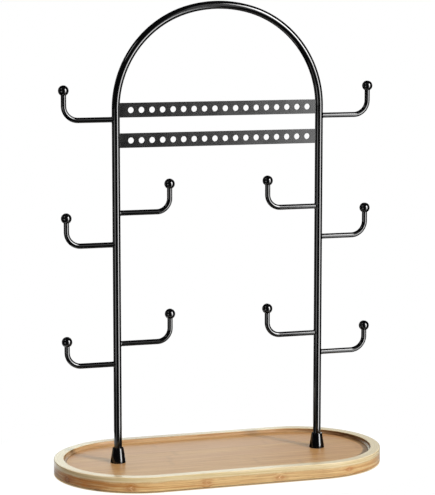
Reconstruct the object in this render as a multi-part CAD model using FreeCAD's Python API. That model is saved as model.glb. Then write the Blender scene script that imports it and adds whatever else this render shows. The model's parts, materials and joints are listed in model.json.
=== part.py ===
import FreeCAD, Part
import math
import os

# A free-standing metal arch with hooks and two perforated bars, on a bamboo tray.
# Millimetres. X runs along the tray, Y to the back, Z up.
# The origin is on the surface that the stand rests on, under the middle of the tray.

# Bamboo tray: a bent hoop with a flat floor panel glued inside it
tray_length = 320.0
tray_depth = 160.0
rim_width = 9.2
recess_depth = 3.8
cove_radius = 2.5
rim_edge_radius = 0.9
hoop_foot_radius = 0.7
floor_thickness = 6.5
underside_recess = 3.3
glue_gap = 0.1

# Non-slip pads under the ends of the hoop
pad_diameter = 9.0
pad_thickness = 1.0
pad_angle = 45.0

# Arch of round bar: two straight legs and a crown of three arcs
# The legs stand on the floor panel, and the spring line is where their straight part ends
leg_inset = 60.0
arch_rod_diameter = 7.5
spring_height = 332.5
shoulder_center_offset = 5.0
crown_center_drop = 17.3
leg_end_chamfer = 0.4

# Outer arms, three on each side, set out downwards from the spring line
# Reach is from the leg's axis to the axis of the upright
arm_rod_diameter = 5.0
arm_bend_radius = 13.4
upper_arm_drop = 9.0
upper_arm_reach = 49.2
upper_arm_rise = 27.0
middle_arm_drop = 116.3
middle_arm_reach = 47.7
middle_arm_rise = 25.7
lower_arm_drop = 112.8
lower_arm_reach = 48.2
lower_arm_rise = 23.0

# Inner hooks, two on each leg, set out downwards from the lower bar
hook_bend_radius = 12.5
hook_reach = 51.5
hook_rise = 25.5
upper_hook_drop = 67.3
lower_hook_drop = 123.1

# Balls pressed on the upturned ends
ball_diameter = 9.9
ball_socket_depth = 5.0
press_gap = 0.05

# Perforated flat bars between the legs, set out downwards from the spring line
upper_bar_drop = 0.5
lower_bar_drop = 28.1
bar_width = 13.5
bar_thickness = 1.5
hole_diameter = 5.6
hole_pitch = 10.2
hole_row_shift = 1.1
least_end_margin = 6.0

# Conical ferrules round the feet of the legs
ferrule_top_wall = 1.35
ferrule_base_wall = 3.45
ferrule_height = 14.2
ferrule_edge_radius = 0.5
ferrule_gap = 0.1

# Screws that hold the legs from under the floor panel
screw_diameter = 4.0
screw_engagement = 12.0
screw_head_diameter = 7.6
screw_head_height = 2.4
screw_head_edge = 0.6
driver_slot_length = 4.2
driver_slot_width = 1.0
driver_slot_depth = 1.3
washer_diameter = 10.0
washer_thickness = 0.8
thread_gap = 0.05
screw_hole_gap = 0.25
tapped_hole_spare = 2.0

# Gap left where a coped end is brazed to a round bar
braze_gap = 0.05

# Levels and lines that follow from the sizes above
hoop_bottom = pad_thickness
floor_bottom = hoop_bottom + underside_recess
floor_top = floor_bottom + floor_thickness
hoop_top = floor_top + recess_depth
end_radius = tray_depth / 2
straight_half = tray_length / 2 - end_radius
wall_radius = end_radius - rim_width
hoop_foot_inner = wall_radius - cove_radius
panel_radius = hoop_foot_inner - glue_gap
pad_ring_radius = (end_radius - hoop_foot_radius + hoop_foot_inner) / 2
leg_x = tray_length / 2 - leg_inset
spring_level = floor_top + spring_height
upper_bar_level = spring_level - upper_bar_drop
lower_bar_level = upper_bar_level - lower_bar_drop
arch_rod_radius = arch_rod_diameter / 2
arm_rod_radius = arm_rod_diameter / 2
ball_radius = ball_diameter / 2
ferrule_bore = arch_rod_radius + ferrule_gap

UP = FreeCAD.Vector(0, 0, 1)
BACK = FreeCAD.Vector(0, 1, 0)


def point(x, y, z):
    return FreeCAD.Vector(x, y, z)


def line(start, end):
    return Part.LineSegment(start, end).toShape()


def arc(start, middle, end):
    return Part.Arc(start, middle, end).toShape()


def arc_about(center, radius, start_angle, end_angle):
    """Arc in the XZ plane, with angles in degrees from +X towards +Z."""
    points = []
    for angle in (start_angle, (start_angle + end_angle) / 2, end_angle):
        turn = math.radians(angle)
        offset = point(radius * math.cos(turn), 0, radius * math.sin(turn))
        points.append(center + offset)
    return arc(*points)


def round_bar(edges, radius, start, direction):
    """Solid round bar of one radius along a path of lines and arcs."""
    path = Part.Wire(edges)
    section = Part.Wire([Part.makeCircle(radius, start, direction)])
    return path.makePipeShell([section], True, False)


# Bamboo hoop: one section, run along both sides and turned round both ends
def hoop_section():
    top = hoop_top
    bottom = hoop_bottom
    edge = rim_edge_radius
    foot = hoop_foot_radius
    bevel = 1 - math.sqrt(0.5)
    outer = -end_radius
    inner = -wall_radius
    cove = cove_radius
    corners = [
        point(0, outer + foot, bottom),
        point(0, outer, bottom + foot),
        point(0, outer, top - edge),
        point(0, outer + edge, top),
        point(0, inner - edge, top),
        point(0, inner, top - edge),
        point(0, inner, floor_top + cove),
        point(0, inner + cove, floor_top),
        point(0, inner + cove, bottom),
    ]
    foot_middle = point(0, outer + foot * bevel, bottom + foot * bevel)
    outer_middle = point(0, outer + edge * bevel, top - edge * bevel)
    inner_middle = point(0, inner - edge * bevel, top - edge * bevel)
    cove_middle = point(0, inner + cove * bevel, floor_top + cove * bevel)
    edges = [
        arc(corners[0], foot_middle, corners[1]),
        line(corners[1], corners[2]),
        arc(corners[2], outer_middle, corners[3]),
        line(corners[3], corners[4]),
        arc(corners[4], inner_middle, corners[5]),
        line(corners[5], corners[6]),
        arc(corners[6], cove_middle, corners[7]),
        line(corners[7], corners[8]),
        line(corners[8], corners[0]),
    ]
    return Part.Face(Part.Wire(edges))


def tray_rim():
    section = hoop_section()
    front = section.copy()
    front.translate(point(-straight_half, 0, 0))
    front_side = front.extrude(point(2 * straight_half, 0, 0))
    right_start = section.copy()
    right_start.translate(point(straight_half, 0, 0))
    right_end = right_start.revolve(point(straight_half, 0, 0), UP, 180)
    back_side = front_side.copy()
    back_side.rotate(point(0, 0, 0), UP, 180)
    left_end = right_end.copy()
    left_end.rotate(point(0, 0, 0), UP, 180)
    return front_side.fuse([right_end, back_side, left_end]).removeSplitter()


# Floor panel: it lies inside the hoop and carries the legs
def tray_floor():
    radius = panel_radius
    half = straight_half
    z = floor_bottom
    outline = Part.Wire([
        line(point(-half, -radius, z), point(half, -radius, z)),
        arc(point(half, -radius, z), point(half + radius, 0, z), point(half, radius, z)),
        line(point(half, radius, z), point(-half, radius, z)),
        arc(point(-half, radius, z), point(-half - radius, 0, z), point(-half, -radius, z)),
    ])
    panel = Part.Face(outline).extrude(point(0, 0, floor_thickness))
    for side in (-1, 1):
        hole_radius = screw_diameter / 2 + screw_hole_gap
        hole = Part.makeCylinder(hole_radius, floor_thickness, point(side * leg_x, 0, z))
        panel = panel.cut(hole)
    return panel


# Arch: the bar is bent once at each shoulder, and less over the crown
def arch_path():
    shoulder_radius = leg_x - shoulder_center_offset
    center_gap = math.hypot(shoulder_center_offset, crown_center_drop)
    crown_radius = shoulder_radius + center_gap
    turn = math.degrees(math.atan2(crown_center_drop, shoulder_center_offset))
    left_center = point(-shoulder_center_offset, 0, spring_level)
    right_center = point(shoulder_center_offset, 0, spring_level)
    crown_center = point(0, 0, spring_level - crown_center_drop)
    return [
        line(point(-leg_x, 0, floor_top), point(-leg_x, 0, spring_level)),
        arc_about(left_center, shoulder_radius, 180, 180 - turn),
        arc_about(crown_center, crown_radius, 180 - turn, turn),
        arc_about(right_center, shoulder_radius, turn, 0),
        line(point(leg_x, 0, spring_level), point(leg_x, 0, floor_top)),
    ]


def arch_blank(radius):
    return round_bar(arch_path(), radius, point(-leg_x, 0, floor_top), UP)


def arch_rod():
    blank = arch_blank(arch_rod_radius)
    ends = [edge for edge in blank.Edges if edge.BoundBox.ZMax < floor_top + leg_end_chamfer / 2]
    blank = blank.makeChamfer(leg_end_chamfer, ends)
    for side in (-1, 1):
        depth = screw_engagement + tapped_hole_spare
        radius = screw_diameter / 2 + thread_gap
        hole = Part.makeCylinder(radius, depth, point(side * leg_x, 0, floor_top))
        blank = blank.cut(hole)
    return blank


# Arms and hooks: a straight run out of the leg, one bend, and an upright for the ball
def bent_arm(side, direction, level, reach, rise, bend_radius):
    """Arm on the leg at side, which runs to -X or +X as direction says."""
    start_x = side * leg_x
    tip_x = start_x + direction * reach
    bend_x = tip_x - direction * bend_radius
    upright_top = level + rise - ball_radius + ball_socket_depth
    bend_center = point(bend_x, 0, level + bend_radius)
    edges = [
        line(point(start_x, 0, level), point(bend_x, 0, level)),
        arc_about(bend_center, bend_radius, 270, 270 + direction * 90),
        line(point(tip_x, 0, level + bend_radius), point(tip_x, 0, upright_top)),
    ]
    arm = round_bar(edges, arm_rod_radius, point(start_x, 0, level), point(direction, 0, 0))
    return arm.cut(arch_blank(arch_rod_radius + braze_gap))


# Balls: each has a blind socket below, in which the end of the upright sits
def ball(side, direction, level, reach, rise):
    center = point(side * leg_x + direction * reach, 0, level + rise)
    sphere = Part.makeSphere(ball_radius, center)
    socket_bottom = center - point(0, 0, ball_radius)
    socket = Part.makeCylinder(arm_rod_radius + press_gap, ball_socket_depth, socket_bottom)
    return sphere.cut(socket)


# Perforated bars: flat strip, coped to the arch at both ends
def perforated_bar(level):
    corner = point(-leg_x, -bar_thickness / 2, level - bar_width / 2)
    strip = Part.makeBox(2 * leg_x, bar_thickness, bar_width, corner)
    strip = strip.cut(arch_blank(arch_rod_radius + braze_gap))
    strip = max(strip.Solids, key=lambda solid: solid.Volume)
    clear_length = 2 * (leg_x - arch_rod_radius - least_end_margin - hole_row_shift)
    hole_count = int(clear_length / hole_pitch) + 1
    first_x = hole_row_shift - (hole_count - 1) * hole_pitch / 2
    holes = []
    for index in range(hole_count):
        start = point(first_x + index * hole_pitch, -bar_thickness, level)
        holes.append(Part.makeCylinder(hole_diameter / 2, 2 * bar_thickness, start, BACK))
    return strip.cut(holes)


# Ferrules: turned cones that hide the joint of leg and tray
def ferrule(side):
    base_radius = ferrule_bore + ferrule_base_wall
    top_radius = ferrule_bore + ferrule_top_wall
    cone = Part.makeCone(base_radius, top_radius, ferrule_height)
    rims = [edge for edge in cone.Edges if edge.Closed and edge.BoundBox.ZLength < ferrule_edge_radius]
    cone = cone.makeFillet(ferrule_edge_radius, rims)
    cone = cone.cut(Part.makeCylinder(ferrule_bore, ferrule_height))
    cone.translate(point(side * leg_x, 0, floor_top))
    return cone


# Screws and washers: under the floor panel, one pair for each leg
def washer(side):
    base = point(side * leg_x, 0, floor_bottom - washer_thickness)
    disc = Part.makeCylinder(washer_diameter / 2, washer_thickness, base)
    bore = Part.makeCylinder(screw_diameter / 2 + screw_hole_gap, washer_thickness, base)
    return disc.cut(bore)


def screw(side):
    x = side * leg_x
    seat = floor_bottom - washer_thickness
    head_bottom = seat - screw_head_height
    head = Part.makeCylinder(screw_head_diameter / 2, screw_head_height, point(x, 0, head_bottom))
    lower_edges = [edge for edge in head.Edges if edge.BoundBox.ZMax < head_bottom + screw_head_edge]
    head = head.makeFillet(screw_head_edge, lower_edges)
    shank_length = washer_thickness + floor_thickness + screw_engagement
    shank = Part.makeCylinder(screw_diameter / 2, shank_length, point(x, 0, seat))
    body = head.fuse(shank).removeSplitter()
    for length, width in (
        (driver_slot_length, driver_slot_width),
        (driver_slot_width, driver_slot_length),
    ):
        corner = point(x - length / 2, -width / 2, head_bottom)
        body = body.cut(Part.makeBox(length, width, driver_slot_depth, corner))
    return body


# Non-slip pads: glued to the flat foot of the hoop, on its middle line
def pad(side, depth_side):
    turn = math.radians(pad_angle)
    x = side * (straight_half + pad_ring_radius * math.cos(turn))
    y = depth_side * pad_ring_radius * math.sin(turn)
    return Part.makeCylinder(pad_diameter / 2, pad_thickness, point(x, y, 0))


SIDES = {"left": -1, "right": 1}

# Each drop is from the level of the one above
ARMS = {
    "upper": (upper_arm_drop, upper_arm_reach, upper_arm_rise),
    "middle": (middle_arm_drop, middle_arm_reach, middle_arm_rise),
    "lower": (lower_arm_drop, lower_arm_reach, lower_arm_rise),
}

HOOKS = {
    "upper": upper_hook_drop,
    "lower": lower_hook_drop,
}


def build():
    parts = {}
    parts["tray_rim"] = tray_rim()
    parts["tray_floor"] = tray_floor()
    parts["arch_rod"] = arch_rod()
    parts["upper_earring_bar"] = perforated_bar(upper_bar_level)
    parts["lower_earring_bar"] = perforated_bar(lower_bar_level)
    for name, side in SIDES.items():
        level = spring_level
        for place, (drop, reach, rise) in ARMS.items():
            level -= drop
            arm_name = f"{name}_{place}_arm"
            parts[arm_name] = bent_arm(side, side, level, reach, rise, arm_bend_radius)
            parts[f"{arm_name}_ball"] = ball(side, side, level, reach, rise)
        level = lower_bar_level
        for place, drop in HOOKS.items():
            level -= drop
            hook_name = f"{name}_{place}_hook"
            parts[hook_name] = bent_arm(side, -side, level, hook_reach, hook_rise, hook_bend_radius)
            parts[f"{hook_name}_ball"] = ball(side, -side, level, hook_reach, hook_rise)
        parts[f"{name}_ferrule"] = ferrule(side)
        parts[f"{name}_leg_screw"] = screw(side)
        parts[f"{name}_leg_washer"] = washer(side)
        parts[f"{name}_front_pad"] = pad(side, -1)
        parts[f"{name}_back_pad"] = pad(side, 1)
    return parts


os.makedirs("parts", exist_ok=True)
for node, shape in build().items():
    shape.exportStep(os.path.join("parts", f"{node}.step"))
    print(f"{node}: {len(shape.Solids)} solid, {shape.Volume:.1f} mm3, valid {shape.isValid()}")
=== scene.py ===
import json
import math

import bmesh
import bpy
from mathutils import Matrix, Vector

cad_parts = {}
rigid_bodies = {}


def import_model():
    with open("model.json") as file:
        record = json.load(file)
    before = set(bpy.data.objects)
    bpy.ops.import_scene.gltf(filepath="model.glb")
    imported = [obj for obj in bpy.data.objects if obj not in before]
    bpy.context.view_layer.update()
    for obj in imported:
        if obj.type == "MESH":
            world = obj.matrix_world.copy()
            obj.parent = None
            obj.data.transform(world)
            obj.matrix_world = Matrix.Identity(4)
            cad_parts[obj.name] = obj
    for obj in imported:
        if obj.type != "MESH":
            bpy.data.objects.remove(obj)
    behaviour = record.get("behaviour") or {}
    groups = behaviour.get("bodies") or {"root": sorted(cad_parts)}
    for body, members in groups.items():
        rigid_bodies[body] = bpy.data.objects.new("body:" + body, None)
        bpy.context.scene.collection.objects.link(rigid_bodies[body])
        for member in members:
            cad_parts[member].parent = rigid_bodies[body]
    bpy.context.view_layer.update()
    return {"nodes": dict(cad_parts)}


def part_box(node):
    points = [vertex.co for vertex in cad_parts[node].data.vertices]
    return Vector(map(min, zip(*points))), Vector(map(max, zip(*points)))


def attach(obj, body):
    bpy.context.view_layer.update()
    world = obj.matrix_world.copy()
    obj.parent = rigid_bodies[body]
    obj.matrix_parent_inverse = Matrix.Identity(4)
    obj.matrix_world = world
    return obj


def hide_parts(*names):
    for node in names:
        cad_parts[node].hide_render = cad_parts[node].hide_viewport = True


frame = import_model()

# Bamboo hoop of the tray: a pale strip glued over a browner one, bent into a ring with round ends.
# Its inner side is milled to a short upright wall with a cove at the foot, then varnished.
# A length with long slanted ends closes the ring at the back, in two scarf joints.
mm = 0.001
rim_width = 9.2 * mm
recess_depth = 3.8 * mm
cove_radius = 2.5 * mm
rim_edge_radius = 0.9 * mm
rim_inner_edge_radius = 0.5 * mm
hoop_foot_radius = 0.7 * mm
foot_steps = 4
edge_steps = 6
cove_steps = 8
turn_step = 2.5
straight_step = 10 * mm
crisp_edge_angle = 40

# Plain millimetres: up from the table, or along the hoop from the middle of its front to the right
pale_strip_foot = 9.8
growth_ring_spacing = 71.0
first_growth_ring = -37.4
lowest_knot = 4.4
knot_scatter = 2.4
# Places of the painted shade at the round ends
left_shade_place = -160
left_inner_shade_place = -232
right_inner_shade_place = 245
scarf_slope = 6.0
scarf_table_end = 40

hoop_low, hoop_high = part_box("tray_rim")
end_radius = (hoop_high.y - hoop_low.y) / 2
straight_half = (hoop_high.x - hoop_low.x) / 2 - end_radius
floor_top = hoop_high.z - recess_depth


def arc(center, radius, start, end, steps):
    """Points of an arc about a center, with angles in degrees."""
    points = []
    for step in range(steps + 1):
        turn = math.radians(start + (end - start) * step / steps)
        points.append((center[0] + radius * math.cos(turn), center[1] + radius * math.sin(turn)))
    return points


def hoop_section():
    """Outline of the hoop's section, as (distance in from the outer face, height)."""
    bottom, top = hoop_low.z, hoop_high.z
    edge, inner_edge, foot = rim_edge_radius, rim_inner_edge_radius, hoop_foot_radius
    return [
        *arc((foot, bottom + foot), foot, 270, 180, foot_steps),
        *arc((edge, top - edge), edge, 180, 90, edge_steps),
        *arc((rim_width - inner_edge, top - inner_edge), inner_edge, 90, 0, edge_steps),
        *arc((rim_width + cove_radius, floor_top + cove_radius), cove_radius, 180, 270, cove_steps),
        (rim_width + cove_radius, bottom),
    ]


def ring_places():
    """Places round the tray from the back middle: (center x, direction in degrees, length so far)."""
    half = straight_half
    places = []
    length = 0
    for x, next_x, turn, next_turn in (
        (0, -half, 90, 90),
        (-half, -half, 90, 270),
        (-half, half, 270, 270),
        (half, half, 270, 450),
        (half, 0, 450, 450),
    ):
        steps = round(abs(next_x - x) / straight_step + (next_turn - turn) / turn_step)
        run = abs(next_x - x) + end_radius * math.radians(next_turn - turn)
        for step in range(steps):
            part = step / steps
            places.append((x + (next_x - x) * part, turn + (next_turn - turn) * part, length + run * part))
        length += run
    return places, length


def round_the_tray(place, inset, height):
    """Point at a distance in from the hoop's outer face."""
    center_x, turn, _ = place
    reach = end_radius - inset
    angle = math.radians(turn)
    return (center_x + reach * math.cos(angle), reach * math.sin(angle), height)


def running_length(points):
    """Length along a row of points up to each of them, in millimetres."""
    lengths = [0]
    for one, other in zip(points, points[1:]):
        lengths.append(lengths[-1] + math.dist(one, other) / mm)
    return lengths


def skin(name, rings, joined=False, grain=None):
    """Quads over a row of closed rings. A joined row ends where it begins, and any other gets end faces.
    grain is (lengths along the row, lengths round a ring), kept as a map for the wood's fibres."""
    size = len(rings[0])
    shape = bmesh.new()
    grid = [[shape.verts.new(point) for point in ring] for ring in rings]
    mapped = shape.loops.layers.uv.new("grain") if grain else None
    for i in range(len(rings) - (0 if joined else 1)):
        for j in range(size):
            corners = ((i, j), (i + 1, j), (i + 1, j + 1), (i, j + 1))
            face = shape.faces.new([grid[a % len(rings)][b % size] for a, b in corners])
            if grain:
                for loop, (a, b) in zip(face.loops, corners):
                    loop[mapped].uv = (grain[0][a], grain[1][b])
    if not joined:
        shape.faces.new(grid[0])
        shape.faces.new(list(reversed(grid[-1])))
    bmesh.ops.recalc_face_normals(shape, faces=shape.faces)
    mesh = bpy.data.meshes.new(name)
    shape.to_mesh(mesh)
    shape.free()
    return piece_of(name, mesh)


def piece_of(name, mesh):
    """Object that shades smooth where it is round, with flat faces and corners kept crisp."""
    mesh.shade_smooth()
    mesh.set_sharp_from_angle(angle=math.radians(crisp_edge_angle))
    piece = bpy.data.objects.new(name, mesh)
    bpy.context.scene.collection.objects.link(piece)
    even = piece.modifiers.new("even_shading", "WEIGHTED_NORMAL")
    even.keep_sharp = True
    return piece


def finished(piece, node, finish):
    """Gives a piece its finish and puts it in the place of its node."""
    piece.data.materials.append(finish.owner)
    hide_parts(node)
    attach(piece, "root")


def color(red, green, blue):
    """A display colour of 0 to 255 as the linear colour that a shader takes."""
    linear = []
    for level in (red, green, blue):
        part = level / 255
        linear.append(part / 12.92 if part <= 0.04045 else ((part + 0.055) / 1.055) ** 2.4)
    return (*linear, 1)


class Level:
    """A number in a node tree. Plain arithmetic on it adds Math nodes."""

    def __init__(self, finish, socket):
        self.finish = finish
        self.socket = socket

    def other(self, output):
        """Another output of the same node."""
        return Level(self.finish, self.socket.node.outputs[output])

    def math(self, operation, *terms):
        """A Math node in the same tree, on all its terms."""
        return self.finish.node("ShaderNodeMath", {"operation": operation}, dict(enumerate(terms)))

    def __add__(self, term):
        return self.math("ADD", self, term)

    def __sub__(self, term):
        return self.math("SUBTRACT", self, term)

    def __rsub__(self, term):
        return self.math("SUBTRACT", term, self)

    def __mul__(self, term):
        return self.math("MULTIPLY", self, term)

    def __truediv__(self, term):
        return self.math("DIVIDE", self, term)

    __radd__ = __add__
    __rmul__ = __mul__

    def size(self):
        return self.math("ABSOLUTE", self)

    def root(self):
        return self.math("SQRT", self)

    def cosine(self):
        return self.math("COSINE", self)

    def at_least_zero(self):
        return self.math("MAXIMUM", self, 0)

    def whole(self):
        return self.math("FLOOR", self)

    def within(self, spacing):
        """What is left of this past the last whole spacing."""
        return self.math("FLOORED_MODULO", self, spacing)

    def hump(self, width):
        """1 where this is zero, falling away over a width to both sides."""
        part = self / width
        return self.math("EXPONENT", part * part * -1)

    def step(self, low, high):
        """0 up to a low value, 1 from a high one, smooth between."""
        return self.finish.node(
            "ShaderNodeMapRange",
            {"interpolation_type": "SMOOTHSTEP"},
            {"Value": self, "From Min": low, "From Max": high},
        )


class Finish:
    """The node tree of a material or world. Constants are set on the sockets of its shader."""

    def __init__(self, owner, **constants):
        owner.use_nodes = True
        self.owner = owner
        self.nodes = owner.node_tree.nodes
        self.links = owner.node_tree.links
        self.shader = self.nodes.get("Principled BSDF")
        for name, value in constants.items():
            self.shader.inputs[name.replace("_", " ")].default_value = value

    def node(self, kind, settings=None, sockets=None):
        """A node of a kind: its settings first, then the values or links of its sockets."""
        node = self.nodes.new(kind)
        for name, setting in (settings or {}).items():
            setattr(node, name, setting)
        for name, value in (sockets or {}).items():
            self.feed(node.inputs[name], value)
        return Level(self, node.outputs[0])

    def feed(self, socket, value):
        """Links a level to a socket, or sets a plain value on it."""
        if isinstance(value, Level):
            self.links.new(value.socket, socket)
        else:
            socket.default_value = value

    def vector(self, x, y, z):
        return self.node("ShaderNodeCombineXYZ", None, {"X": x, "Y": y, "Z": z})

    def noise(self, place, scale, detail, roughness=0.5):
        sockets = {"Vector": place, "Scale": scale, "Detail": detail, "Roughness": roughness}
        return self.node("ShaderNodeTexNoise", None, sockets)

    def mix(self, part, under, over):
        """One colour over another, by a part of 0 to 1."""
        mixed = self.node("ShaderNodeMix", {"data_type": "RGBA"}, {0: part, 6: under, 7: over})
        return mixed.other(2)

    def place(self):
        """The place in the stand's frame in millimetres, as three levels: right, back and up."""
        spot = self.node("ShaderNodeTexCoord").other("Object")
        scaled = self.node("ShaderNodeVectorMath", {"operation": "SCALE"}, {0: spot, "Scale": 1 / mm})
        x = self.node("ShaderNodeSeparateXYZ", None, {"Vector": scaled})
        return x, x.other("Y"), x.other("Z")

    def relief(self, height, depth):
        """Bump of a real depth in metres, where the height runs from 0 to 1."""
        bump = self.node("ShaderNodeBump", None, {"Height": height, "Distance": depth, "Strength": 1.0})
        self.feed(self.shader.inputs["Normal"], bump)


def bamboo_fibres(finish, along, across, seed):
    """Fine fibres, broader streaks and short dark vessel ends, each a level of about 0 to 1."""
    fibres = finish.noise(finish.vector(along * 0.03, across * 2.0, seed), 1.0, 4.0, 0.62)
    streaks = finish.noise(finish.vector(along * 0.012, across * 0.7, seed + 7.3), 1.0, 3.0)
    vessels = finish.noise(finish.vector(along * 0.11, across * 3.4, seed + 3.1), 1.0, 1.0)
    return fibres.step(0.3, 0.7), streaks.step(0.36, 0.64), vessels.step(0.6, 0.72)


varnish = {"Roughness": 0.5, "Specular_IOR_Level": 0.15, "Coat_Weight": 1.0, "Coat_IOR": 1.4}


def hoop_finish():
    finish = Finish(bpy.data.materials.new("varnished_bamboo_hoop"), Coat_Roughness=0.2, **varnish)
    chart = finish.node("ShaderNodeUVMap", {"uv_map": "grain"})
    along = finish.node("ShaderNodeSeparateXYZ", None, {"Vector": chart})
    across = along.other("Y")
    right, back, height = finish.place()
    foot, top = hoop_low.z / mm, hoop_high.z / mm
    wander = finish.noise(finish.vector(along * 0.05, height * 0.9, 0.0), 1.0, 3.0) - 0.5
    pale = (height + wander * 3.0).step(pale_strip_foot - 1.0, pale_strip_foot + 1.0)
    inner = across.step(inner_side_start - 0.4, inner_side_start + 0.4)

    # Growth rings of the browner strip: fibres bulge round a knot, and every second knot's core is paler
    from_first = along - (first_growth_ring - growth_ring_spacing / 2)
    number = (from_first / growth_ring_spacing).whole()
    drift = finish.node("ShaderNodeTexWhiteNoise", {"noise_dimensions": "1D"}, {"W": number})
    ahead = from_first.within(growth_ring_spacing) - growth_ring_spacing / 2
    above = height - (lowest_knot + knot_scatter * drift)
    brown = 1 - pale
    eye = ahead.hump(5.5) * above.hump(3.0) * brown
    bent_across = across - above * ahead.hump(5.0) * brown * 0.5
    fray = finish.noise(finish.vector(along * 0.35, height * 0.8, number), 1.0, 3.0)
    reach = ahead * 0.7
    bow = (reach * reach + above * above * 2.2).root()
    ripple = 0.5 - 0.5 * (bow * 2.3 + fray * 7.0).cosine()
    pale_core = 0.3 + 0.7 * number.within(2)
    chevron = (ahead + 0.8 - above.size() * 0.9).hump(0.6) * above.hump(2.0) * brown * pale_core

    fibres, streaks, vessels = bamboo_fibres(finish, along, bent_across, pale * 31)
    pale_tone = finish.mix(streaks, color(236, 218, 176), color(214, 193, 141))
    brown_tone = finish.mix(streaks, color(240, 206, 144), color(198, 140, 74))
    brown_tone = finish.mix((along - 45).hump(95.0) * 0.45, brown_tone, color(226, 200, 150))
    # The inner wall and cove are painted browner all round: a painted shade for the recess
    inner_shade_tone = finish.mix(streaks, color(208, 172, 126), color(178, 136, 90))
    tone = finish.mix(pale, brown_tone, pale_tone)
    # The top of the rim is painted paler: a painted sheen
    top_sheen = height.step(top - 0.5, top - 0.1)
    tone = finish.mix(top_sheen * 0.5, tone, color(254, 236, 198))
    tone = finish.mix(inner, tone, inner_shade_tone)

    # Mottled painted shade at the round ends: outside at the left end, and on the inner wall and cove at
    # both ends, most at the right
    shade_mottle = finish.noise(finish.vector(along * 0.06, height * 0.5, 4.0), 1.0, 2.0).step(0.35, 0.65)
    left_end_shade = (along - left_shade_place).hump(44.0) * (1 - inner)
    left_brown_shade = left_end_shade * (brown * 0.8 + 0.2)
    tone = finish.mix(left_brown_shade * (0.25 + 0.6 * shade_mottle), tone, color(206, 120, 24))
    inner_shade_humps = (along - right_inner_shade_place).hump(58.0) + 0.5 * (along - left_inner_shade_place).hump(24.0)
    inner_end_shade = inner_shade_humps * inner
    tone = finish.mix(inner_end_shade * (0.75 + 0.25 * shade_mottle), tone, color(78, 46, 22))

    # A stretch along the back, left of the middle, is darker too
    back_stretch = (right + 50).hump(70.0) * back.step(60.0, 70.0) * (1 - inner)
    tone = finish.mix(back_stretch * 0.6, tone, color(160, 124, 88))
    # Fibres, vessel ends and knots also darken with the painted shade at the left end
    tone = finish.mix(fibres * (0.45 - 0.2 * pale + 0.3 * left_brown_shade), tone, color(152, 92, 40))
    tone = finish.mix(vessels * (0.35 - 0.2 * pale + 0.4 * left_brown_shade), tone, color(106, 58, 22))
    tone = finish.mix(eye * (0.45 + 0.3 * ripple), tone, color(172, 100, 42))
    tone = finish.mix(eye * left_end_shade * (0.3 + 0.5 * ripple), tone, color(92, 48, 16))
    tone = finish.mix(chevron * fray.step(0.35, 0.6), tone, color(252, 222, 172))
    glue_line = (height - pale_strip_foot).hump(0.12)
    tone = finish.mix(glue_line * 0.3, tone, color(120, 78, 44))
    # Painted shade along the foot of the hoop, darker at the left end
    foot_shade = 1 - height.step(foot + 0.2, foot + 1.1)
    tone = finish.mix(foot_shade * (0.35 + 0.4 * left_end_shade), tone, color(84, 74, 48))
    scarf = (along.size() + height * scarf_slope - (half_ring - scarf_table_end)).hump(0.5)
    tone = finish.mix(scarf * 0.5, tone, color(104, 66, 36))
    finish.feed(finish.shader.inputs["Base Color"], tone)
    finish.feed(finish.shader.inputs["Roughness"], 0.42 + 0.16 * fibres)
    # The coat is thinner on the inner ends, where their painted shade lies
    finish.feed(finish.shader.inputs["Coat Weight"], 1 - 0.6 * inner_end_shade)
    finish.relief(fibres * 0.6 - vessels * 0.5 - glue_line * 0.8 - scarf, 0.03 * mm)
    return finish


places, ring_length = ring_places()
half_ring = ring_length / mm / 2
section = hoop_section()
lengths_round = running_length(section + section[:1])
inner_side_start = lengths_round[(foot_steps + 1) + 2 * (edge_steps + 1) - 1]
lengths_along = [length / mm - half_ring for _, _, length in places] + [half_ring]
hoop_rings = [[round_the_tray(place, inset, height) for inset, height in section] for place in places]
hoop = skin("bamboo_hoop", hoop_rings, joined=True, grain=(lengths_along, lengths_round))
finished(hoop, "tray_rim", hoop_finish())

# Floor panel of the tray: flat bamboo strips, glued edge to edge and sanded flat.
# It drops into the hoop with a hair of room for glue, and each leg stands on it, screwed from below.
panel_edge = 0.3 * mm
screw_hole_radius = 2.25 * mm
hole_sides = 40
side_signs = {"left": -1, "right": 1}

# Plain millimetres: each strip starts at a chance place along its stem
strip_width = 17.0
stem_length = 900
panel_ring_spacing = 190.0

panel_low, panel_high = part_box("tray_floor")
panel_inset = end_radius - (panel_high.y - panel_low.y) / 2
arch_low, arch_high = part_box("arch_rod")
leg_radius = (arch_high.y - arch_low.y) / 2
leg_x = arch_high.x - leg_radius


def plate(name, outline, holes, thickness, edge):
    """Flat plate in the XY plane, centred on it, with round holes and rounded edges."""
    drawing = bpy.data.curves.new(name, "CURVE")
    drawing.dimensions = "2D"
    drawing.fill_mode = "BOTH"
    drawing.extrude = thickness / 2 - edge
    drawing.bevel_depth = edge
    drawing.bevel_resolution = 2
    drawing.offset = -edge
    loops = [outline] + [arc(center, radius, 0, 360, hole_sides)[:-1] for center, radius in holes]
    for loop in loops:
        spline = drawing.splines.new("POLY")
        spline.points.add(len(loop) - 1)
        for point, (x, y) in zip(spline.points, loop):
            point.co = (x, y, 0, 1)
        spline.use_cyclic_u = True
    pattern = bpy.data.objects.new(name + "_outline", drawing)
    mesh = bpy.data.meshes.new_from_object(pattern)
    bpy.data.objects.remove(pattern)
    return mesh


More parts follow.
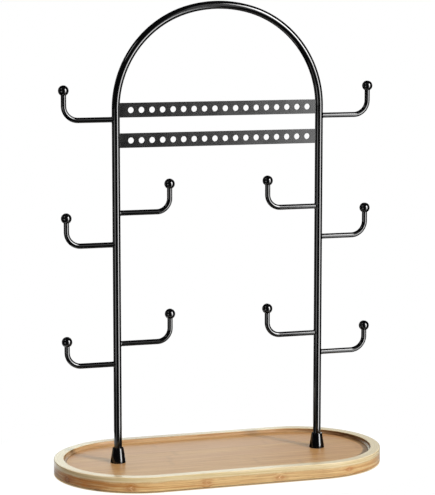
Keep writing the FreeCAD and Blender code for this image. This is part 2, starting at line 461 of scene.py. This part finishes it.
def panel_finish():
    finish = Finish(bpy.data.materials.new("varnished_bamboo_panel"), Coat_Roughness=0.4, **varnish)
    along, across, height = finish.place()
    strips_across = across / strip_width + 0.5
    strip = strips_across.whole()
    chance = finish.node("ShaderNodeTexWhiteNoise", {"noise_dimensions": "1D"}, {"W": strip})
    along_stem = along + stem_length * chance
    fibres, streaks, vessels = bamboo_fibres(finish, along_stem, across + height, strip * 5)
    tone = finish.mix(streaks, color(228, 181, 116), color(204, 147, 86))
    tone = finish.mix(chance * 0.5, tone, color(212, 157, 112))
    tone = finish.mix(fibres * 0.4, tone, color(160, 109, 66))
    tone = finish.mix(vessels * 0.25, tone, color(118, 70, 38))
    ahead = along_stem.within(panel_ring_spacing) - panel_ring_spacing / 2
    ring = (ahead + fibres * 1.2).hump(2.2)
    tone = finish.mix(ring * 0.15, tone, color(132, 78, 40))
    seam = (strips_across.within(1) - 0.5).size().step(0.485, 0.497)
    tone = finish.mix(seam * 0.35, tone, color(112, 70, 40))

    # Painted shadow of the hoop's rim, in the corner of the floor round the right end
    past_bend = (along - straight_half / mm).at_least_zero()
    reach = (past_bend * past_bend + across * across).root()
    from_foot = (end_radius - panel_inset) / mm - reach
    rim_shadow = 1 - (from_foot + fibres * 0.6 + across * 0.03).step(3.2, 5.4)
    round_right_end = (past_bend - 0.17 * across).step(46.0, 60.0)
    tone = finish.mix(rim_shadow * round_right_end * 0.85, tone, color(128, 92, 48))
    finish.feed(finish.shader.inputs["Base Color"], tone)
    finish.feed(finish.shader.inputs["Roughness"], 0.42 + 0.16 * fibres)
    finish.relief(fibres * 0.6 - vessels * 0.5 - seam * 0.6, 0.03 * mm)
    return finish


panel_outline = [round_the_tray(place, panel_inset, 0)[:2] for place in places]
leg_holes = [((side * leg_x, 0), screw_hole_radius) for side in side_signs.values()]
panel_mesh = plate("bamboo_floor", panel_outline, leg_holes, panel_high.z - panel_low.z, panel_edge)
for vertex in panel_mesh.vertices:
    vertex.co.z += (panel_low.z + panel_high.z) / 2
panel = piece_of("bamboo_floor", panel_mesh)
finished(panel, "tray_floor", panel_finish())

# Non-slip pads: four clear soft buttons, glued under the round ends of the hoop.
# The edge of their foot is rounded, and dust dulls them.
pad_edge = 0.3 * mm


def turned(name, center, profile, sides=48):
    """Piece turned about an upright line through a center, from (radius, height) points.
    A profile that ends where it begins makes a ring, and any other is closed by end faces."""
    shape = bmesh.new()
    rings = []
    for radius, height in profile:
        if radius == 0:
            rings.append([shape.verts.new((center[0], center[1], height))] * sides)
        else:
            loop = arc(center, radius, 0, 360, sides)[:-1]
            rings.append([shape.verts.new((x, y, height)) for x, y in loop])
    for lower, upper in zip(rings, rings[1:]):
        for j in range(sides):
            after = (j + 1) % sides
            corners = dict.fromkeys((lower[j], lower[after], upper[after], upper[j]))
            shape.faces.new(list(corners))
    for ring in (rings[0], rings[-1]):
        if profile[0] != profile[-1] and ring[0] is not ring[1]:
            shape.faces.new(ring)
    if profile[0] == profile[-1]:
        bmesh.ops.remove_doubles(shape, verts=shape.verts, dist=0.001 * mm)
    bmesh.ops.recalc_face_normals(shape, faces=shape.faces)
    mesh = bpy.data.meshes.new(name)
    shape.to_mesh(mesh)
    shape.free()
    return piece_of(name, mesh)


def pad_finish():
    rubber = {"Transmission_Weight": 0.4, "IOR": 1.45, "Roughness": 0.35}
    finish = Finish(bpy.data.materials.new("clear_rubber"), **rubber)
    dust = finish.noise(finish.vector(*finish.place()), 0.9, 4.0).step(0.35, 0.75)
    tone = finish.mix(dust, color(222, 222, 216), color(186, 182, 172))
    finish.feed(finish.shader.inputs["Base Color"], tone)
    finish.feed(finish.shader.inputs["Roughness"], 0.3 + 0.4 * dust)
    finish.relief(dust, 0.03 * mm)
    return finish


clear_rubber = pad_finish()
for pad_node in [f"{side}_{end}_pad" for side in side_signs for end in ("front", "back")]:
    low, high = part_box(pad_node)
    radius = (high.x - low.x) / 2
    rounded = arc((radius - pad_edge, low.z + pad_edge), pad_edge, 270, 360, steps=4)
    profile = [*rounded, (radius, high.z)]
    center = ((low.x + high.x) / 2, (low.y + high.y) / 2)
    finished(turned(f"{pad_node}_button", center, profile), pad_node, clear_rubber)

# Arch: one round steel bar, bent to a shoulder on each side and an easier curve over the top.
# It is coated in deep black gloss paint, which lies a little uneven on the bar.
shoulder_center_offset = 5.0 * mm
crown_center_drop = 17.3 * mm
leg_end_chamfer = 0.4 * mm
bend_step = 1.5

shoulder_radius = leg_x - shoulder_center_offset
crown_radius = shoulder_radius + math.hypot(shoulder_center_offset, crown_center_drop)
shoulder_turn = math.degrees(math.atan2(crown_center_drop, shoulder_center_offset))
crown_center_z = arch_high.z - leg_radius - crown_radius
spring_level = crown_center_z + crown_center_drop


def bend(center, radius, start, end):
    """Places (x, z, heading) of a bar round a bend, with angles in degrees."""
    steps = round(abs(end - start) / bend_step)
    way = math.copysign(90, end - start)
    turns = [start + (end - start) * step / steps for step in range(steps + 1)]
    return [(*point, turn + way) for point, turn in zip(arc(center, radius, start, end, steps), turns)]


def bar_ring(place, radius, sides=48):
    """Ring round a bar at a place (x, z, heading) in the XZ plane."""
    x, z, heading = place
    turn = math.radians(heading + 90)
    ring = []
    for out, y in arc((0, 0), radius, 0, 360, sides)[:-1]:
        ring.append((x + out * math.cos(turn), y, z + out * math.sin(turn)))
    return ring


def gloss_finish():
    paint = {"IOR": 1.8, "Roughness": 0.08}
    finish = Finish(bpy.data.materials.new("gloss_black_paint"), **paint)
    spot = finish.vector(*finish.place())
    flow = finish.noise(spot, 0.12, 2.0)
    peel = finish.noise(spot, 0.8, 2.0)
    smudge = finish.noise(spot, 0.05, 4.0, 0.6).step(0.4, 0.75)
    dust = finish.noise(spot, 4.5, 1.0).step(0.72, 0.8)
    tone = finish.mix(smudge, color(4, 4, 5), color(8, 8, 8))
    tone = finish.mix(dust * 0.08, tone, color(70, 68, 64))
    finish.feed(finish.shader.inputs["Base Color"], tone)
    finish.feed(finish.shader.inputs["Roughness"], 0.08 + 0.04 * smudge + 0.04 * dust)
    finish.relief(flow * 0.9 + peel * 0.1, 0.008 * mm)
    return finish


gloss_black = gloss_finish()
left_shoulder = (-shoulder_center_offset, spring_level)
right_shoulder = (shoulder_center_offset, spring_level)
arch_places = [
    (-leg_x, arch_low.z + leg_end_chamfer, 90),
    *bend(left_shoulder, shoulder_radius, 180, 180 - shoulder_turn),
    *bend((0, crown_center_z), crown_radius, 180 - shoulder_turn, shoulder_turn)[1:-1],
    *bend(right_shoulder, shoulder_radius, shoulder_turn, 0),
    (leg_x, arch_low.z + leg_end_chamfer, -90),
]
arch_rings = [bar_ring(place, leg_radius) for place in arch_places]
left_foot, right_foot = [
    bar_ring((side * leg_x, arch_low.z, -90 * side), leg_radius - leg_end_chamfer)
    for side in side_signs.values()
]
arch = skin("arch", [left_foot, *arch_rings, right_foot])
finished(arch, "arch_rod", gloss_black)

# Arms outside the legs and hooks inside them: thinner round bar with one bend, upturned at the end.
# Each is brazed to its leg before painting, which leaves a small hollow fillet at the root.
arm_bend_radius = 13.4 * mm
hook_bend_radius = 12.5 * mm
root_fillet = 0.8 * mm
root_bite = 0.08 * mm
arm_sides = 32


def root_rings(side, way, level, radius):
    """Rings of the fillet, saddled on the round leg, from the leg outwards."""
    rings = []
    for spread, flare in arc((root_fillet, radius + root_fillet), root_fillet, 180, 270, steps=6):
        reach = -root_bite if spread < root_bite else spread
        ring = []
        for z, y in arc((level, 0), flare, 0, 360, arm_sides)[:-1]:
            ring.append((side * leg_x + way * (math.sqrt(leg_radius**2 - y**2) + reach), y, z))
        rings.append(ring)
    return rings


def bent_bar(node, side, way, bend_radius):
    """Rings of an arm or hook. side is its leg and way is where it points: -1 left, 1 right."""
    low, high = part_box(node)
    radius = (high.y - low.y) / 2
    level = low.z + radius
    tip_x = (high.x if way > 0 else low.x) - way * radius
    center = (tip_x - way * bend_radius, level + bend_radius)
    places = [*bend(center, bend_radius, 270, 270 + way * 90), (tip_x, high.z, 90)]
    rings = root_rings(side, way, level, radius)
    for x, z, heading in places:
        rings.append(bar_ring((x, z, heading if way > 0 else heading + 180), radius, arm_sides))
    return rings


for side_name, side in side_signs.items():
    for place_name in ("upper", "middle", "lower"):
        node = f"{side_name}_{place_name}_arm"
        piece = skin(f"{node}_bar", bent_bar(node, side, side, arm_bend_radius))
        finished(piece, node, gloss_black)
    for place_name in ("upper", "lower"):
        node = f"{side_name}_{place_name}_hook"
        piece = skin(f"{node}_bar", bent_bar(node, side, -side, hook_bend_radius))
        finished(piece, node, gloss_black)

# Balls: turned steel, pressed on the upturned ends so that nothing catches or scratches.
# Each has a crisp mouth where the bar goes in, and the same black gloss.
ball_mouth_radius = 2.55 * mm
ball_mouth_edge = 0.15 * mm
ball_mouth_depth = 1.2 * mm
ball_last_turn = 88
ball_steps = 40


def ball_profile(center_z, radius):
    """Outline from inside the mouth, round the ball and up to its top, as (radius, height)."""
    mouth = ball_mouth_radius
    lip_turn = -math.degrees(math.acos((mouth + ball_mouth_edge) / radius))
    lip_z = center_z + radius * math.sin(math.radians(lip_turn))
    return [
        (mouth, lip_z + ball_mouth_depth),
        (mouth, lip_z + ball_mouth_edge),
        *arc((0, center_z), radius, lip_turn, ball_last_turn, ball_steps),
        (0, center_z + radius),
    ]


ball_nodes = [name for name in frame["nodes"] if name.endswith("_ball")]
for node in sorted(ball_nodes):
    low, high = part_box(node)
    radius = (high.x - low.x) / 2
    center = ((low.x + high.x) / 2, (low.y + high.y) / 2)
    piece = turned(f"{node}_end", center, ball_profile((low.z + high.z) / 2, radius))
    finished(piece, node, gloss_black)

# Perforated bars: two flat steel strips with a row of punched holes, brazed between the legs.
# Their paint is thinner and less shiny than on the round bar.
hole_radius = 2.8 * mm
hole_pitch = 10.2 * mm
hole_count = 18
hole_row_shift = 1.1 * mm
bar_edge = 0.2 * mm
bar_bite = 0.4 * mm


def satin_finish():
    paint = {"IOR": 1.6, "Roughness": 0.22}
    finish = Finish(bpy.data.materials.new("satin_black_paint"), **paint)
    spot = finish.vector(*finish.place())
    grit = finish.noise(spot, 1.6, 3.0)
    cloud = finish.noise(spot, 0.06, 3.0).step(0.35, 0.7)
    dust = finish.noise(spot, 4.0, 1.0).step(0.7, 0.8)
    tone = finish.mix(cloud, color(8, 8, 9), color(13, 12, 12))
    tone = finish.mix(dust * 0.15, tone, color(84, 82, 78))
    finish.feed(finish.shader.inputs["Base Color"], tone)
    finish.feed(finish.shader.inputs["Roughness"], 0.2 + 0.04 * cloud)
    finish.relief(grit, 0.004 * mm)
    return finish


satin_black = satin_finish()
for node in ("upper_earring_bar", "lower_earring_bar"):
    low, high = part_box(node)
    level = (low.z + high.z) / 2
    end_x = leg_x - leg_radius + bar_bite
    half_width = (high.z - low.z) / 2
    outline = [(-end_x, -half_width), (end_x, -half_width), (end_x, half_width), (-end_x, half_width)]
    first_x = hole_row_shift - (hole_count - 1) * hole_pitch / 2
    holes = [((first_x + index * hole_pitch, 0), hole_radius) for index in range(hole_count)]
    mesh = plate(node, outline, holes, high.y - low.y, bar_edge)
    for vertex in mesh.vertices:
        x, y, z = vertex.co
        vertex.co = (x, -z, y + level)
    finished(piece_of(f"{node}_strip", mesh), node, satin_black)

# Ferrules: turned cones with a softly rounded rim above and below.
# They slide down the legs and hide where these stand on the panel.
ferrule_bore = 3.85 * mm
ferrule_top_radius = 5.2 * mm
ferrule_edge = 0.5 * mm
ferrule_sides = 64

for side_name in side_signs:
    node = f"{side_name}_ferrule"
    low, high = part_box(node)
    center = ((low.x + high.x) / 2, 0)
    base_radius = (high.x - low.x) / 2
    lean = math.degrees(math.atan2(base_radius - ferrule_top_radius, high.z - low.z))
    top_center = (ferrule_top_radius - ferrule_edge, high.z - ferrule_edge)
    foot_center = (base_radius - ferrule_edge, low.z + ferrule_edge)
    profile = [
        (ferrule_bore, low.z),
        *arc(foot_center, ferrule_edge, -90, lean, steps=6),
        *arc(top_center, ferrule_edge, lean, 90, steps=6),
        (ferrule_bore, high.z),
        (ferrule_bore, low.z),
    ]
    piece = turned(f"{node}_cone", center, profile, ferrule_sides)
    finished(piece, node, gloss_black)

# Screws and washers under the panel: zinc plated steel, one of each for each leg.
# They draw the leg down, and nobody sees them while the stand is in use.


def zinc_finish():
    plating = {"Metallic": 1.0, "Roughness": 0.35}
    finish = Finish(bpy.data.materials.new("zinc_plate"), **plating)
    spot = finish.vector(*finish.place())
    bloom = finish.noise(spot, 0.7, 4.0).step(0.35, 0.7)
    scratch = finish.noise(spot, 3.0, 2.0)
    tone = finish.mix(bloom, color(198, 200, 204), color(168, 168, 160))
    finish.feed(finish.shader.inputs["Base Color"], tone)
    finish.feed(finish.shader.inputs["Roughness"], 0.28 + 0.2 * bloom)
    finish.relief(scratch, 0.01 * mm)
    return finish


zinc = zinc_finish()
for side_name in side_signs:
    for part in ("screw", "washer"):
        fastener = frame["nodes"][f"{side_name}_leg_{part}"]
        fastener.data.materials.clear()
        fastener.data.materials.append(zinc.owner)

# Table top and room: a pale board to stand on and white all round for the camera.
# Light comes from a narrow soft panel at the front right, a weak one at the left and the pale ceiling.
# What the paint and varnish mirror comes from panels and cards of their own.
board_margin = 70 * mm
board_shift = 20 * mm
matt_grey = (0.4, 0.4, 0.4, 1)


def board_ring(inset, shift=0.0):
    """Ring of points on the table, moved to the left and back by a shift."""
    ring = [round_the_tray(place, inset, 0) for place in places]
    return [(x - shift, y + shift, z) for x, y, z in ring]


def stage_board(name, points, faces, own_color, lit_color):
    """Flat board that the camera and mirrors see glow in its own colour, with the light on it added.
    In a mirror it glows most behind the left end. All other rays meet a matt grey."""
    finish = Finish(bpy.data.materials.new(name), Base_Color=matt_grey, Roughness=1.0)
    seen = finish.node("ShaderNodeLightPath")
    right, back, _ = finish.place()
    mirrored = 0.3 + 0.65 * (back - 0.4 * right).step(80.0, 125.0)
    strength = seen + (1 - seen) * mirrored
    glow = finish.node("ShaderNodeEmission", None, {"Color": own_color, "Strength": strength})
    shade = finish.node("ShaderNodeBsdfDiffuse", None, {"Color": lit_color})
    bright = finish.node("ShaderNodeAddShader", None, {0: glow, 1: shade})
    lit = Level(finish, finish.shader.outputs[0])
    seen_at_all = seen + seen.other("Is Glossy Ray")
    mixed = finish.node("ShaderNodeMixShader", None, {0: seen_at_all, 1: lit, 2: bright})
    finish.feed(finish.nodes["Material Output"].inputs["Surface"], mixed)
    mesh = bpy.data.meshes.new(name)
    mesh.from_pydata(points, [], faces)
    mesh.materials.append(finish.owner)
    board = bpy.data.objects.new(name, mesh)
    bpy.context.scene.collection.objects.link(board)
    return board


count = len(places)
quads = [(spot, (spot + 1) % count, count + (spot + 1) % count, count + spot) for spot in range(count)]
wide_ring = board_ring(-board_margin, board_shift) + board_ring(0.0)
stage_board(
    "board_round_the_tray",
    wide_ring,
    quads,
    own_color=color(251, 251, 251),
    lit_color=color(98, 98, 98),
)
# Under the tray the board glows a dim beige for the camera: a painted shade in the gap under the hoop
under_tray_shade_board = stage_board(
    "board_under_the_tray",
    board_ring(0.0),
    [range(count)],
    own_color=color(150, 128, 96),
    lit_color=color(222, 196, 150),
)

# Neither the board under the tray nor the floor panel shows in a mirror
under_tray_shade_board.visible_glossy = False
panel.visible_glossy = False

# The room is white for the camera and dim in mirrors, and it lights the stand mostly from above
wall_light = 0.12
ceiling_light = 0.66
mirrored_light = 0.012

world = bpy.data.worlds.new("pale_room")
bpy.context.scene.world = world
room = Finish(world)
seen = room.node("ShaderNodeLightPath")
glossy = seen.other("Is Glossy Ray")
direction = room.node("ShaderNodeTexCoord")
upward = room.node("ShaderNodeSeparateXYZ", None, {"Vector": direction}).other("Z")
soft = wall_light + ceiling_light * upward.at_least_zero()
strength = seen + (1 - seen) * (mirrored_light * glossy + (1 - glossy) * soft)
background = room.nodes["Background"]
background.inputs["Color"].default_value = (1, 1, 1, 1)
room.feed(background.inputs["Strength"], strength)

# Lamps in one plane hide each other, so those that overlap stand at distances of their own
key_azimuth = 34.0
glint_azimuth = 37.0
key_distance = 2.1
glint_distance = 1.97


def soft_panel(name, azimuth, bottom, top, width, radiance, distance=2.0, mirrored_only=False):
    """Upright light panel that faces the middle of the stand. Its azimuth is in degrees from the
    front to the right, its measures are in metres, and its face shines at the given radiance."""
    lamp = bpy.data.lights.new(name, "AREA")
    lamp.shape = "RECTANGLE"
    lamp.size = width
    lamp.size_y = top - bottom
    lamp.energy = radiance * math.pi * width * (top - bottom)
    light = bpy.data.objects.new(name, lamp)
    turn = math.radians(azimuth)
    light.location = (distance * math.sin(turn), -distance * math.cos(turn), (bottom + top) / 2)
    light.rotation_euler = (math.pi / 2, 0, turn)
    light.visible_camera = False
    light.visible_diffuse = not mirrored_only
    bpy.context.scene.collection.objects.link(light)
    return light


key_lights = (
    soft_panel("key_light_low", key_azimuth, -0.6, 0.5, 0.3, 5.5, distance=key_distance),
    soft_panel("key_light_high", key_azimuth, 0.7, 1.95, 0.3, 39.0, distance=key_distance),
)
for light in key_lights:
    light.visible_glossy = False
soft_panel("key_panel_low", key_azimuth, -0.6, 0.5, 0.81, 3.6, mirrored_only=True)
soft_panel("key_panel_high", key_azimuth, 0.5, 1.95, 0.81, 6.6, mirrored_only=True)
soft_panel("key_below", glint_azimuth, -2.2, -0.6, 0.5, 3.0, mirrored_only=True)
soft_panel("key_right_edge", 49.0, -0.6, 2.0, 0.3, 1.4, mirrored_only=True)
soft_panel("key_left_edge", 19.0, -0.9, 1.4, 0.16, 0.6, mirrored_only=True)
soft_panel("middle_card", 14.5, 0.15, 0.6, 0.12, 0.1, mirrored_only=True)
left_fill = soft_panel("left_fill", -25.0, 0.0, 1.6, 0.8, 1.8)
left_fill.visible_glossy = False


def show_in(name, pieces, cards):
    """Lets cards show in a few pieces alone."""
    group = bpy.data.collections.new(name)
    for piece in pieces:
        group.objects.link(piece)
    for card in cards:
        card.light_linking.receiver_collection = group


paints = (gloss_black.owner, satin_black.owner)
painted = [piece for piece in bpy.context.scene.objects if piece.active_material in paints]
glint = {"azimuth": glint_azimuth, "distance": glint_distance, "mirrored_only": True}
painted_cards = (
    soft_panel("key_low_glint", bottom=-0.6, top=0.5, width=0.5, radiance=6.3, **glint),
    soft_panel("key_high_glint", bottom=0.5, top=1.95, width=0.5, radiance=11.0, **glint),
    soft_panel("high_left_card", 12.5, 0.6, 1.95, 0.26, 0.65, mirrored_only=True),
    soft_panel("left_card_foot", -58.0, -1.0, -0.3, 0.9, 0.5, mirrored_only=True),
    soft_panel("left_window", -70.0, 1.6, 2.4, 0.6, 2.4, mirrored_only=True),
    soft_panel("back_card", 150.0, -0.6, 1.6, 0.5, 1.5, mirrored_only=True),
    soft_panel("left_back_card", -125.0, -0.6, 1.6, 0.3, 0.6, mirrored_only=True),
)
show_in("painted_pieces", painted, painted_cards)

slim_painted = [piece for piece in painted if not piece.name.endswith("_cone")]
left_card = soft_panel("left_card", -58.0, -0.3, 0.2, 0.9, 1.5, mirrored_only=True)
show_in("painted_bars_and_balls", slim_painted, [left_card])

cool_white = (0.88, 1.0, 0.98)
sheen_cards = (
    soft_panel("wide_sheen_card", 165.0, 0.1, 0.5, 1.5, 0.7, distance=1.04, mirrored_only=True),
    soft_panel("left_sheen_card", 179.0, 0.1, 0.5, 0.8, 0.85, distance=1.0, mirrored_only=True),
)
for card in sheen_cards:
    card.data.color = cool_white
show_in("varnished_pieces", (hoop, panel), sheen_cards)

# Camera: a little above the crown of the arch, from the front left, through a long lens.
# It keeps the tray's ends and the whole arch in the picture.
look_down = 7.735
look_right = 17.759

lens_data = bpy.data.cameras.new("camera")
lens_data.lens = 140.905
lens_data.sensor_width = 36.0
camera = bpy.data.objects.new("camera", lens_data)
camera.location = (-0.55524, -1.72883, 0.45784)
camera.rotation_euler = (math.radians(90 - look_down), 0, math.radians(-look_right))
bpy.context.scene.collection.objects.link(camera)
bpy.context.scene.camera = camera
bpy.context.scene.view_settings.view_transform = "Standard"
